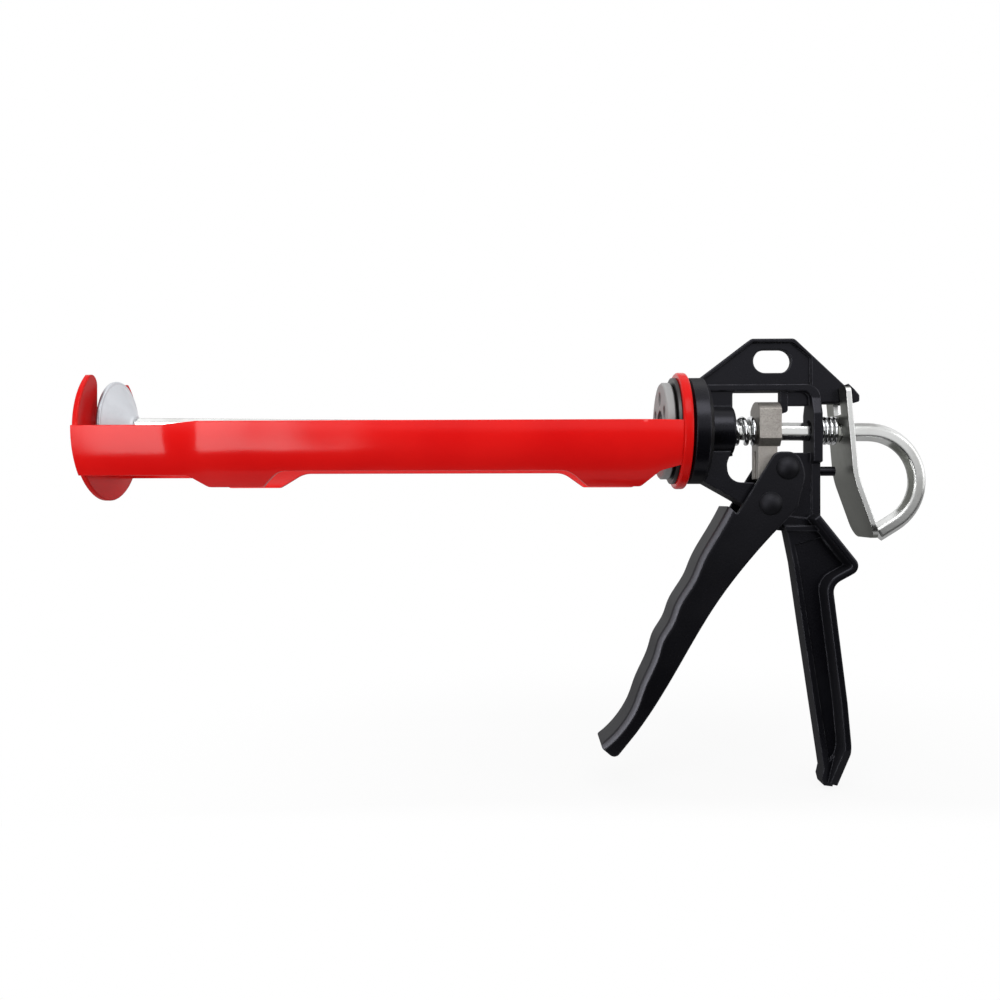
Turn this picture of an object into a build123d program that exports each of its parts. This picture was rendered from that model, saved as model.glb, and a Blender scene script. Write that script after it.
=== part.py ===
from build123d import *
import math
import os

# Caulking gun with a turning cradle, in millimetres. The origin is where the cradle's axis meets the
# rear face of the front plate. +X runs to the rear along that axis, +Z is up, and the left side is -Y.

# Push rod, hexagonal bar with two flats upright. The release plate's bite takes up the rod's play, so that
# the rod stands a little nose-up about CANT_X.
ROD_FLATS = 6.35
ROD_CORNER = ROD_FLATS / 2 / math.cos(math.pi / 6)
ROD_SLIDE_GAP = 0.1
ROD_LOOSE_GAP = 0.7
ROD_CANT = 0.62
CANT_X = 252.0
SPIGOT_R = 2.5
THREAD_GAP = 0.05
PRESS_GAP = 0.02

# Cradle sheet metal
SHEET = 1.2
RAIL_INNER_R = 25.2
RAIL_OUTER_R = RAIL_INNER_R + SHEET
MOUTH_INNER_R = 27.9
MOUTH_OUTER_R = MOUTH_INNER_R + SHEET
FLARE_FROM_X = 31.0
FLARE_TO_X = 47.0
TUCK_FROM_X = 212.0
RAIL_TOP = 2.7
RAIL_TOP_FRONT = 1.0
RAIL_LOW = -16.4
RAIL_LOW_FRONT = -18.1
RAIL_LOW_REAR = -16.6
RAIL_LOW_RING = -14.0
LOBE_LOW = -22.6
LOBE_STEP = 8.0
LOBE_NOSE = 5.8
FRONT_LOBE_X = 45.6
FRONT_LOBE_REAR_X = 67.2
REAR_LOBE_X = 195.8
REAR_LOBE_REAR_X = 216.4
REAR_LOBE_TAIL = 6.9

FRONT_PLATE = 2.3
MOUTH_X = -FRONT_PLATE + 0.2
NOZZLE_R = 11.7
EAR_ROUND = 4.0

# Bearing that the cradle turns on
SPIGOT_BEARING_R = 14.5
BEARING_GAP = 0.08
WASHER_BORE_R = SPIGOT_BEARING_R + BEARING_GAP
AXIAL_PLAY = 0.15
RING_X = 231.7
RING_THICK = 3.9
RING_TUCK_R = 23.0
RING_PROUD = 0.6
RING_R = RING_TUCK_R + RING_PROUD
REAR_WASHER = 0.6
REAR_WASHER_R = 19.0
COLLAR_X = RING_X + RING_THICK + AXIAL_PLAY + REAR_WASHER
COLLAR_R = 21.5
COLLAR_WIDE = 6.05
COLLAR_REAR_X = COLLAR_X + COLLAR_WIDE
COLLAR_CONE = 1.8
COLLAR_CONE_X = COLLAR_REAR_X + COLLAR_CONE
FRONT_WASHER = 1.3
FRONT_WASHER_R = RING_TUCK_R - SHEET - 0.3
SHOULDER_X = RING_X - AXIAL_PLAY - FRONT_WASHER
NUT_HUB = 0.6
NUT_HUB_R = 16.0
NUT_THICK = 3.7
NUT_R = 19.6
NUT_X = SHOULDER_X - NUT_HUB - NUT_THICK
NOSE_R = 8.35
SPANNER_HOLE_R = 3.0
SPANNER_CIRCLE_R = 12.9
SPANNER_HOLES = 6
GUIDE_R = 6.0
GUIDE_LONG = 9.0

# Pusher on the front of the rod
PUSHER_X = 2.4
PUSHER_R = 18.4
PUSHER_LIP = 1.6
PUSHER_WALL = 1.9
PUSHER_REAR_X = 10.9
PUSHER_HUB_R = 4.4
PUSHER_SEAT_R = 5.6
PUSHER_FLOOR = 2.1
PUSHER_WASHER = 1.0
PUSHER_WASHER_R = 5.0
PUSHER_NUT = 3.8
PUSHER_NUT_FLATS = 8.0

# Rod hook
HOOK_R = 19.8
HOOK_BEHIND = 5.9
HOOK_SWEEP = 147.0
HOOK_TAIL = 8.2

# Cast body, half widths across Y
FRAME_HALF = 3.4
PANEL_HALF = 1.5
RIDGE_HALF = 4.4
COLUMN_HALF = 6.8
LOW_COLUMN_HALF = 3.9
ARM_HALF = 6.5
LUG_WEB_HALF = 3.0
WEB_HALF = 4.0
WEB_PANEL = 1.0
PALM_HALF = 12.0
PALM_TIP_HALF = 5.0
PALM_THICK = 3.0
HANDLE_LONG = 106.0
HEAD_HALF = 7.0

# Cast body, side outline
FRAME_LOW = 21.8
FRAME_SLOPE = 20.0
FRAME_FRONT_X = COLLAR_REAR_X + FRAME_SLOPE
FRAME_FLAT = 17.2
FRAME_REAR_X = FRAME_FRONT_X + FRAME_FLAT
FRAME_TOP = 37.0
FRAME_RIM = 1.4
PANEL_BEHIND = 6.8
PANEL_REAR_X = FRAME_REAR_X + PANEL_BEHIND
BOSS_R = 10.3
BOSS_LONG = 10.8
BOSS_REAR_X = COLLAR_CONE_X + BOSS_LONG
BOSS_PROUD = 0.3
WINDOW_X = BOSS_REAR_X - BOSS_PROUD
WINDOW_LONG = 31.4
WINDOW_REAR_X = WINDOW_X + WINDOW_LONG
WINDOW_TOP = 15.9
RIDGE_TOP = 18.4
COLUMN_WIDE = 3.5
COLUMN_REAR_X = WINDOW_REAR_X + COLUMN_WIDE
COLUMN_STEP_Z = -12.6
COLUMN_LOW = -37.0
REAR_BOSS_R = COLUMN_HALF - 0.2
REAR_BOSS_PROUD = 0.2
REAR_BOSS_X = COLUMN_REAR_X + REAR_BOSS_PROUD
REAR_BOSS = 3.4
EAR_LOW = 10.9
EAR_REACH = 10.1
HEAD_X = COLUMN_REAR_X + EAR_REACH
HEAD_LONG = 4.3
HEAD_REAR_X = HEAD_X + HEAD_LONG
HOOK_X = HEAD_REAR_X + HOOK_BEHIND
HEAD_TOP = 14.8
HEAD_PROUD = 1.2
HANG_BEHIND = 8.8
HANG_X = FRAME_FRONT_X + HANG_BEHIND
HANG_Z = 28.1
HANG_LONG = 15.4
HANG_HIGH = 9.5
NUB_AHEAD = 11.8
NUB_X = WINDOW_REAR_X - NUB_AHEAD
NUB_LONG = 3.0
NUB_REAR_X = NUB_X + NUB_LONG
NUB_LOW = 7.2
NUB_HALF = 1.8
NUB_WEB_HALF = 1.3
NUB_WEB_LOW = 10.1
PEG_Z = -16.4
PEG_R = 1.9
PEG_LONG = 6.8
PEG_REAR_X = COLUMN_REAR_X + PEG_LONG
LEDGE_Z = -38.4
LEDGE = 2.0

# Trigger, its pivot and its drive pin
PIVOT_AHEAD = 18.1
PIVOT_X = WINDOW_REAR_X - PIVOT_AHEAD
PIVOT_Z = -29.4
PIN_BEHIND = 6.8
PIN_ABOVE = 14.1
PIN_X = PIVOT_X + PIN_BEHIND
PIN_Z = PIVOT_Z + PIN_ABOVE
SHANK_R = 2.4
SHANK_GAP = 0.06
BUSH_R = 3.9
HEAD_R = 4.7
HEAD_RISE = 2.4
CHEEK_OUT = 10.5
CHEEK = 1.5
CHEEK_IN = CHEEK_OUT - CHEEK
LUG_R = 7.2
LUG_HALF = CHEEK_IN - 0.3
WEB_CORNER_R = 2.8

# Drive grip and the two springs
DRIVE_SEAT = 4.0
DRIVE_SEAT_X = BOSS_REAR_X - DRIVE_SEAT
DRIVE_SPRING_LONG = 13.6
GRIP_X = DRIVE_SEAT_X + DRIVE_SPRING_LONG
GRIP_LONG = 8.7
GRIP_REAR_X = GRIP_X + GRIP_LONG
GRIP_HALF = 7.3
GRIP_TOP = 11.7
GRIP_LOW = -3.4
TAIL_HALF = 5.0
TAIL_FROM_Z = -6.4
TAIL_LOW = -19.6
TAIL_REAR_X = PIN_X - SHANK_R - 0.2
DRIVE_WIRE_R = 0.9
DRIVE_COIL_R = 5.1
DRIVE_TURNS = 3.5
RELEASE_WIRE_R = 0.65
RELEASE_COIL_R = 5.1
RELEASE_TURNS = 4.0

# Release plate
PLATE = 2.0
PLATE_HALF = 11.7
PLATE_TOP = 16.7
PLATE_TOP_X = HEAD_X - 1.8
PLATE_BEND_X = PLATE_TOP_X + 3.1
PLATE_BEND_Z = -19.0
PLATE_END_X = PLATE_TOP_X + 11.9
PLATE_BEND_R = 34.0
PLATE_END_Z = -43.2
FORK_HALF = 3.9
FORK_LOW = 6.2
RELEASE_END_X = PLATE_TOP_X - 0.25


def side_face(points, radius=0.0):
    """Closed outline in the X-Z plane, its corners rounded where a radius is given."""
    if isinstance(radius, (int, float)) and radius == 0:
        line = Polyline(*points, close=True)
    else:
        line = FilletPolyline(*points, radius=radius, close=True)
    return Plane.XZ * make_face(line)


def slab(points, half, radius=0.0):
    """Outline in the X-Z plane carried to the same distance on both sides of the middle."""
    return extrude(side_face(points, radius), amount=half, both=True)


def turned(points):
    """Solid of revolution about the rod axis from (x, radius) points."""
    return revolve(Plane.XZ * make_face(Polyline(*points, close=True)), axis=Axis.X)


def tube(x0, x1, outer, inner=0.0):
    """Round piece on the rod axis from x0 to x1, bored when an inner radius is given."""
    section = Circle(outer)
    if inner > 0:
        section = section - Circle(inner)
    return extrude(Plane.YZ.offset(x0) * section, amount=x1 - x0)


def hexagon(x0, x1, flats):
    """Hexagonal bar on the rod axis with two flats upright."""
    shape = RegularPolygon(flats / 2, 6, major_radius=False, rotation=30)
    return extrude(Plane.YZ.offset(x0) * shape, amount=x1 - x0)


def canted(shape):
    """Carries a piece from the cradle's axis to the rod's own axis."""
    return Pos(CANT_X, 0, 0) * (Rot(0, ROD_CANT, 0) * (Pos(-CANT_X, 0, 0) * shape))


def cross_bar(x, z, radius, half):
    """Round bar across the gun at (x, z)."""
    return extrude(Plane.XZ * (Pos(x, z) * Circle(radius)), amount=half, both=True)


def cradle_rail(side):
    """One side rail of the cradle: a flared strip with two deeper lobes, tucked in at the ring."""
    outer = [
        Line((MOUTH_X, MOUTH_OUTER_R), (FLARE_FROM_X, MOUTH_OUTER_R)),
        Spline((FLARE_FROM_X, MOUTH_OUTER_R), (FLARE_TO_X, RAIL_OUTER_R), tangents=[(1, 0), (1, 0)]),
        Line((FLARE_TO_X, RAIL_OUTER_R), (TUCK_FROM_X, RAIL_OUTER_R)),
        TangentArc((TUCK_FROM_X, RAIL_OUTER_R), (RING_X, RING_TUCK_R), tangent=(1, 0)),
    ]
    inner = [Pos(0, -SHEET) * edge for edge in outer]
    ends = [
        Line((MOUTH_X, MOUTH_INNER_R), (MOUTH_X, MOUTH_OUTER_R)),
        Line((RING_X, RING_TUCK_R - SHEET), (RING_X, RING_TUCK_R)),
    ]
    wall = revolve(Plane.XZ * make_face(outer + inner + ends), axis=Axis.X)
    outline = [
        (MOUTH_X - 1, RAIL_TOP_FRONT),
        (FLARE_FROM_X + 2, RAIL_TOP_FRONT),
        (FLARE_TO_X - 2, RAIL_TOP),
        (RING_X + 1, RAIL_TOP),
        (RING_X + 1, RAIL_LOW_RING),
        (REAR_LOBE_REAR_X + REAR_LOBE_TAIL, RAIL_LOW_REAR),
        (REAR_LOBE_REAR_X, LOBE_LOW),
        (REAR_LOBE_X, LOBE_LOW),
        (REAR_LOBE_X - LOBE_STEP, RAIL_LOW),
        (FRONT_LOBE_REAR_X + LOBE_STEP, RAIL_LOW),
        (FRONT_LOBE_REAR_X, LOBE_LOW),
        (FRONT_LOBE_X, LOBE_LOW),
        (FRONT_LOBE_X - LOBE_NOSE, RAIL_LOW_FRONT),
        (MOUTH_X - 1, RAIL_LOW_FRONT),
    ]
    rounds = [0, 8, 8, 0, 0, 4, 2, 2, 9, 9, 2, 2.5, 2.5, 0]
    reach = MOUTH_OUTER_R + 2
    keep = extrude(side_face(outline, rounds), amount=-side * reach)
    return wall & keep


def front_plate():
    """Front disc with the nozzle slot open at the top, welded inside the mouths of the rails."""
    disc = tube(-FRONT_PLATE, 0, MOUTH_INNER_R - PRESS_GAP)
    disc = chamfer(disc.edges().filter_by(GeomType.CIRCLE), 0.4)
    slot = Circle(NOZZLE_R) + Pos(0, MOUTH_INNER_R) * Rectangle(2 * NOZZLE_R, 2 * MOUTH_INNER_R)
    disc = disc - extrude(Plane.YZ.offset(-FRONT_PLATE - 1) * slot, amount=FRONT_PLATE + 2)
    corners = disc.edges().filter_by(Axis.X).group_by(Axis.Z)[-1]
    return fillet(corners, EAR_ROUND)


def rear_ring():
    """Ring at the rear of the cradle that turns on the body's bearing."""
    ring = tube(RING_X, RING_X + RING_THICK, RING_R, WASHER_BORE_R)
    rim = ring.edges().filter_by(GeomType.CIRCLE).filter_by(lambda edge: edge.radius > RING_R - 1)
    return fillet(rim, 1.0)


def cradle_nut():
    """Nut that keeps the cradle on the body, with holes for a pin spanner."""
    nut = tube(NUT_X, NUT_X + NUT_THICK, NUT_R)
    rim = nut.edges().filter_by(GeomType.CIRCLE)
    nut = chamfer(rim, 0.6) + tube(NUT_X + NUT_THICK, SHOULDER_X, NUT_HUB_R)
    nut = nut - tube(NUT_X - 1, SHOULDER_X + 1, NOSE_R + THREAD_GAP)
    for index in range(SPANNER_HOLES):
        turn = Rot(360 * index / SPANNER_HOLES + 90, 0, 0)
        hole = turn * (Pos(0, SPANNER_CIRCLE_R, 0) * tube(NUT_X - 1, SHOULDER_X + 1, SPANNER_HOLE_R))
        nut = nut - hole
    return nut


def push_rod():
    """Hexagonal push rod with its rear end bent into a pull hook."""
    shoulder = PUSHER_REAR_X
    bend = Edge.make_circle(
        HOOK_R,
        Plane(origin=(HOOK_X, 0, -HOOK_R), x_dir=(0, 0, 1), z_dir=(0, 1, 0)),
        start_angle=0,
        end_angle=HOOK_SWEEP,
    )
    straight = Line((shoulder, 0, 0), (HOOK_X, 0, 0))
    tail = Line(bend @ 1, bend @ 1 + (bend % 1) * HOOK_TAIL)
    section = Plane.YZ.offset(shoulder) * RegularPolygon(ROD_FLATS / 2, 6, major_radius=False, rotation=30)
    rod = sweep(section, path=Wire([straight, bend, tail]))
    return canted(rod + tube(PUSHER_X + 0.8, shoulder, SPIGOT_R))


def pusher_disc():
    """Dished pusher with a lip, its hollow side to the front."""
    floor_x = PUSHER_REAR_X - PUSHER_FLOOR
    dish = turned(
        [
            (PUSHER_X, PUSHER_R),
            (PUSHER_X + PUSHER_LIP, PUSHER_R),
            (PUSHER_X + PUSHER_LIP, PUSHER_R - 1.1),
            (PUSHER_REAR_X - 0.6, PUSHER_HUB_R + 0.8),
            (PUSHER_REAR_X, PUSHER_HUB_R),
            (PUSHER_REAR_X, SPIGOT_R + THREAD_GAP),
            (floor_x, SPIGOT_R + THREAD_GAP),
            (floor_x, PUSHER_SEAT_R),
            (PUSHER_X + 0.4, PUSHER_R - PUSHER_WALL),
            (PUSHER_X, PUSHER_R - PUSHER_WALL + 0.4),
        ]
    )
    rim = dish.edges().filter_by(GeomType.CIRCLE).filter_by(lambda edge: edge.radius > PUSHER_R - 0.1)
    return canted(fillet(rim, 0.6))


def pusher_washer():
    """Washer under the nut in the hollow of the pusher."""
    floor_x = PUSHER_REAR_X - PUSHER_FLOOR
    return canted(tube(floor_x - PUSHER_WASHER, floor_x, PUSHER_WASHER_R, SPIGOT_R + 0.2))


def pusher_nut():
    """Nut that holds the pusher on the rod's spigot."""
    face_x = PUSHER_REAR_X - PUSHER_FLOOR - PUSHER_WASHER
    nut = hexagon(face_x - PUSHER_NUT, face_x, PUSHER_NUT_FLATS)
    return canted(nut - tube(face_x - PUSHER_NUT - 1, face_x + 1, SPIGOT_R + THREAD_GAP))


def frame_plate():
    """Thin upper plate of the body with its rimmed panel, the hang slot and the ear for the release plate."""
    outline = [
        (COLLAR_REAR_X, FRAME_LOW),
        (FRAME_FRONT_X, FRAME_TOP),
        (FRAME_REAR_X, FRAME_TOP),
        (HEAD_REAR_X - 1, HEAD_TOP),
        (HEAD_REAR_X, HEAD_TOP - 1.4),
        (HEAD_REAR_X, EAR_LOW),
        (COLUMN_REAR_X, EAR_LOW),
        (COLUMN_REAR_X, COLUMN_LOW),
        (WINDOW_REAR_X, COLUMN_LOW),
        (WINDOW_REAR_X, WINDOW_TOP),
        (WINDOW_X, WINDOW_TOP),
        (WINDOW_X, -BOSS_R),
        (COLLAR_REAR_X, -BOSS_R),
    ]
    plate = slab(outline, FRAME_HALF, [0, 2.5, 2.5, 1, 1, 0.8, 2.0, 0, 0, 3.6, 1.6, 0, 0])
    upper = plate.edges().filter_by(lambda edge: edge.center().Z > FRAME_LOW and abs(edge.center().Y) > 1)
    plate = fillet(upper, 0.5)
    panel = [
        (COLLAR_REAR_X, RIDGE_TOP - 1),
        (COLLAR_REAR_X + FRAME_RIM, FRAME_LOW - FRAME_RIM / 2),
        (FRAME_FRONT_X + FRAME_RIM / 2, FRAME_TOP - FRAME_RIM),
        (FRAME_REAR_X - FRAME_RIM / 2, FRAME_TOP - FRAME_RIM),
        (PANEL_REAR_X, FRAME_TOP - FRAME_RIM / 2 - (PANEL_REAR_X - FRAME_REAR_X)),
        (PANEL_REAR_X, RIDGE_TOP - 1),
    ]
    recess = extrude(side_face(panel, [0, 0, 1, 1, 1, 0]), amount=FRAME_HALF)
    plate = plate - Pos(0, -PANEL_HALF, 0) * recess - Pos(0, FRAME_HALF + PANEL_HALF, 0) * recess
    slot = Pos(HANG_X, HANG_Z) * SlotOverall(HANG_LONG, HANG_HIGH)
    return plate - extrude(Plane.XZ * slot, amount=FRAME_HALF + 1, both=True)


def frame_ridge():
    """Ridge along the window's top that bends down into the rear column and widens with it."""
    outline = [
        (COLLAR_REAR_X, RIDGE_TOP),
        (COLUMN_REAR_X, RIDGE_TOP),
        (COLUMN_REAR_X, COLUMN_LOW),
        (WINDOW_REAR_X, COLUMN_LOW),
        (WINDOW_REAR_X, WINDOW_TOP),
        (COLLAR_REAR_X, WINDOW_TOP),
    ]
    ridge = slab(outline, COLUMN_HALF, [0, 5.6, 0, 0, 3.6, 0])
    widening = [
        (-RIDGE_HALF, RIDGE_TOP + 1),
        (RIDGE_HALF, RIDGE_TOP + 1),
        (RIDGE_HALF, WINDOW_TOP - 3),
        (COLUMN_HALF, REAR_BOSS_R),
        (COLUMN_HALF, COLUMN_STEP_Z),
        (LOW_COLUMN_HALF, COLUMN_STEP_Z - 0.6),
        (LOW_COLUMN_HALF, COLUMN_LOW - 1),
        (-LOW_COLUMN_HALF, COLUMN_LOW - 1),
        (-LOW_COLUMN_HALF, COLUMN_STEP_Z - 0.6),
        (-COLUMN_HALF, COLUMN_STEP_Z),
        (-COLUMN_HALF, REAR_BOSS_R),
        (-RIDGE_HALF, WINDOW_TOP - 3),
    ]
    section = Plane.YZ.offset(COLLAR_X) * make_face(Polyline(*widening, close=True))
    return ridge & extrude(section, amount=HEAD_X - COLLAR_X)


def handle_top():
    """Window frame of the body: thin plate, ridge, cross head of the ear and stop nub."""
    slope = (FRAME_TOP - HEAD_TOP) / (HEAD_REAR_X - 1 - FRAME_REAR_X)
    head = [
        (HEAD_X, HEAD_TOP + HEAD_PROUD + slope * (HEAD_REAR_X - 2 - HEAD_X)),
        (HEAD_REAR_X - 2, HEAD_TOP + HEAD_PROUD),
        (HEAD_REAR_X, HEAD_TOP - HEAD_PROUD),
        (HEAD_REAR_X, EAR_LOW),
        (HEAD_X, EAR_LOW),
    ]
    head = slab(head, HEAD_HALF, [0, 1, 1, 0.8, 0])
    root_z = WINDOW_TOP + 0.5
    web = [
        (NUB_X + 1, NUB_WEB_LOW),
        (WINDOW_REAR_X + 1, NUB_WEB_LOW),
        (WINDOW_REAR_X + 1, root_z),
        (NUB_X + 1, root_z),
    ]
    nub = [(NUB_X, root_z), (NUB_X, NUB_LOW), (NUB_REAR_X, NUB_LOW), (NUB_REAR_X, root_z)]
    stop = slab(web, NUB_WEB_HALF) + slab(nub, NUB_HALF, [0, 1.4, 1.4, 0])
    return frame_plate() + frame_ridge() + head + stop


def handle_arm():
    """Lower arm from the collar to the pivot lug, and the web from the lug up to the rear column."""
    arm = slab(
        [
            (COLLAR_X + 2, -8.5),
            (WINDOW_X - 1.3, -8.5),
            (WINDOW_X - 3.0, -13.5),
            (WINDOW_X - 2.3, -20.8),
            (PIVOT_X - 6, -21.1),
            (PIVOT_X, PIVOT_Z + LUG_R),
            (PIVOT_X, PIVOT_Z - LUG_R),
            (PIVOT_X - 3.5, PIVOT_Z - 4.0),
            (WINDOW_X - 1.3, -26.9),
            (COLLAR_REAR_X + 0.6, -21.0),
            (COLLAR_X + 2, -17.4),
        ],
        ARM_HALF,
        [0, 0, 4, 5.5, 0, 0, 0, 0, 3, 0, 0],
    )
    web = slab(
        [
            (WINDOW_REAR_X - 8.3, -9.0),
            (WINDOW_REAR_X + 1, -9.0),
            (WINDOW_REAR_X + 1, COLUMN_LOW),
            (WINDOW_REAR_X - 8.5, LEDGE_Z - LEDGE),
            (WINDOW_REAR_X - 12.1, LEDGE_Z - LEDGE),
            (PIVOT_X, PIVOT_Z - LUG_R),
            (PIVOT_X, PIVOT_Z + LUG_R),
            (WINDOW_REAR_X - 8.3, PIVOT_Z + LUG_R),
        ],
        LUG_WEB_HALF,
        [1.5, 0, 0, 0, 0, 0, 0, 4],
    )
    ledge = slab(
        [
            (WINDOW_REAR_X - 11.9, LEDGE_Z),
            (COLUMN_REAR_X, LEDGE_Z),
            (COLUMN_REAR_X, LEDGE_Z - LEDGE),
            (WINDOW_REAR_X - 10.7, LEDGE_Z - LEDGE),
        ],
        COLUMN_HALF,
        0.5,
    )
    lug = cross_bar(PIVOT_X, PIVOT_Z, LUG_R, LUG_HALF)
    return arm + web + ledge + lug


def handle_grip():
    """Fixed handle, laid out from the column's foot: a web with a shallow panel, and a wide palm flange."""
    spine = FilletPolyline(
        (-4.0, 2.4),
        (11.9, -17.6),
        (0.7, -23.8),
        (6.5, -71.0),
        (8.1, 17.0 - HANDLE_LONG),
        (4.4, 1.2 - HANDLE_LONG),
        radius=[2.2, 6.5, 60.0, 14.0],
    )
    palm = extrude(Plane.XZ * trace(spine, line_width=PALM_THICK), amount=PALM_HALF, both=True)
    palm = fillet(palm.edges().filter_by(lambda edge: abs(abs(edge.center().Y) - PALM_HALF) < 0.01), 0.9)
    tongue = FilletPolyline(
        (-PALM_HALF - 1, 17.0),
        (PALM_HALF + 1, 17.0),
        (PALM_HALF + 1, 19.0 - HANDLE_LONG),
        (PALM_TIP_HALF, -HANDLE_LONG - 1),
        (-PALM_TIP_HALF, -HANDLE_LONG - 1),
        (-PALM_HALF - 1, 19.0 - HANDLE_LONG),
        radius=[1.0, 1.0, 12.0, 2.5, 2.5, 12.0],
        close=True,
    )
    palm = palm & extrude(Plane.YZ * make_face(tongue), amount=50, both=True)
    front = [(-17.2, 3.0), (-13.3, -3.8), (-10.7, -16.7), (-7.7, -38.0), (1.2, 7.0 - HANDLE_LONG)]
    tip = [(0.4, 3.4 - HANDLE_LONG), (1.2, 0.4 - HANDLE_LONG), (4.6, -HANDLE_LONG), (7.4, 16.6 - HANDLE_LONG)]
    rear = [(6.0, -71.0), (0.6, -28.4), (1.3, -25.0), (10.8, -17.8), (-3.6, 1.4)]
    web = slab(front + tip + rear, WEB_HALF)
    panel = [(-10.2, -9.0), (-8.6, -17.2), (-5.4, -38.2), (3.3, 10.0 - HANDLE_LONG), (8.4, 16.6 - HANDLE_LONG)]
    panel = panel + [(2.4, -24.2), (10.4, -18.2), (0.4, -6.0)]
    recess = extrude(side_face(panel), amount=WEB_PANEL)
    web = web - Pos(0, -WEB_HALF + WEB_PANEL, 0) * recess - Pos(0, WEB_HALF, 0) * recess
    return Pos(COLUMN_REAR_X, 0, COLUMN_LOW) * (web + palm)


def handle_body():
    """Cast body: bearing nose, collar, window frame, trigger lug and fixed handle in one piece."""
    collar = turned(
        [
            (COLLAR_X, 0),
            (COLLAR_X, COLLAR_R - 0.8),
            (COLLAR_X + 0.8, COLLAR_R),
            (COLLAR_REAR_X, COLLAR_R),
            (COLLAR_CONE_X, COLLAR_R - 2.6),
            (COLLAR_CONE_X, 0),
        ]
    )
    nose = tube(SHOULDER_X, COLLAR_X, SPIGOT_BEARING_R) + tube(NUT_X + 0.4, SHOULDER_X, NOSE_R)
    boss = tube(COLLAR_X, BOSS_REAR_X, BOSS_R)
    boss = fillet(boss.edges().group_by(Axis.X)[-1], 1.2)
    rear_boss = tube(REAR_BOSS_X - REAR_BOSS, REAR_BOSS_X, REAR_BOSS_R)
    rear_boss = fillet(rear_boss.edges().group_by(Axis.X)[-1], 0.6)
    peg = Pos(0, 0, PEG_Z) * tube(WINDOW_REAR_X, PEG_REAR_X, PEG_R)
    body = handle_top() + handle_arm() + handle_grip()
    body = body + collar + nose + boss + rear_boss + peg
    body = body - tube(NUT_X, NUT_X + 0.4 + GUIDE_LONG, GUIDE_R)
    body = body - tube(NUT_X, REAR_BOSS_X + 1, ROD_CORNER + ROD_LOOSE_GAP)
    body = body - tube(DRIVE_SEAT_X, BOSS_REAR_X + 1, DRIVE_COIL_R + DRIVE_WIRE_R + 0.5)
    return body - cross_bar(PIVOT_X, PIVOT_Z, BUSH_R, LUG_HALF + 1)


def rod_guide():
    """Guide bush in the body's nose whose hexagonal bore keeps the rod from turning."""
    start = NUT_X + 0.4
    bush = tube(start, start + GUIDE_LONG, GUIDE_R - PRESS_GAP)
    return bush - canted(hexagon(start - 1, start + GUIDE_LONG + 1, ROD_FLATS + 2 * ROD_SLIDE_GAP))


def pivot_bush():
    """Bush in the lug that the trigger's pivot rivet turns in."""
    outer = cross_bar(PIVOT_X, PIVOT_Z, BUSH_R - PRESS_GAP, LUG_HALF)
    return outer - cross_bar(PIVOT_X, PIVOT_Z, SHANK_R + SHANK_GAP, LUG_HALF + 1)


def trigger():
    """Pressed trigger, laid out from its pivot: a channel with a waved finger web in front and two cheeks."""
    wave = Spline(
        (-16.3, -1.1),
        (-22.0, -11.4),
        (-28.7, -23.4),
        (-31.0, -29.0),
        (-37.8, -40.6),
        (-39.8, -46.2),
        (-44.2, -53.8),
        (-45.9, -59.4),
        (-51.7, -72.8),
        (-53.8, -78.8),
        (-58.8, -87.6),
        (-65.7, -94.8),
    )
    toe = FilletPolyline(
        (-65.7, -94.8), (-67.1, -96.6), (-61.4, -101.3), (-53.3, -91.2), radius=[1.2, 2.6]
    )
    rear = Spline((-53.3, -91.2), (-39.2, -69.6), (-21.6, -39.9), (-7.7, -21.6), (3.2, -9.5))
    cheek = FilletPolyline(
        (3.2, -9.5),
        (10.4, -2.0),
        (13.8, 11.4),
        (11.0, 20.5),
        (2.0, 20.5),
        (-13.2, -4.2),
        (-16.3, -1.1),
        radius=[5, 10, 6, 4, 0.6],
    )
    outline = Plane.XZ * make_face([wave, *toe.edges(), rear, *cheek.edges()])
    block = extrude(outline, amount=CHEEK_OUT, both=True)
    front = block.edges().filter_by(lambda edge: abs(edge.length - wave.length) < 0.5)
    block = fillet(front, WEB_CORNER_R)
    inside = Pos(CHEEK * 1.12, 0, 0) * wave
    bottom = Polyline(inside @ 1, (-61.6, -99.2), (-28.0, -99.2), (32.0, -30.6), (32.0, 29.4))
    top = Polyline((32.0, 29.4), (-28.0, 29.4), inside @ 0)
    outline = Plane.XZ * make_face([inside, *bottom.edges(), *top.edges()])
    hollow = extrude(outline, amount=CHEEK_IN, both=True)
    folds = hollow.edges().filter_by(lambda edge: abs(edge.length - wave.length) < 0.5)
    hollow = fillet(folds, WEB_CORNER_R - CHEEK)
    shape = Pos(PIVOT_X, 0, PIVOT_Z) * (block - hollow)
    shape = shape - cross_bar(PIVOT_X, PIVOT_Z, SHANK_R, CHEEK_OUT + 1)
    return shape - cross_bar(PIN_X, PIN_Z, SHANK_R, CHEEK_OUT + 1)


def rivet(x, z):
    """Rivet across both cheeks with a domed head on each side."""
    shank = cross_bar(x, z, SHANK_R - PRESS_GAP, CHEEK_OUT)
    ball = (HEAD_R**2 + HEAD_RISE**2) / (2 * HEAD_RISE)
    for side in (-1, 1):
        dome = Pos(x, side * (CHEEK_OUT + HEAD_RISE - ball), z) * Sphere(ball)
        keep = Pos(x, side * (CHEEK_OUT + HEAD_RISE / 2 + 1), z) * Box(20, HEAD_RISE + 2, 20)
        shank = shank + (dome & keep)
    return shank


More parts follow.
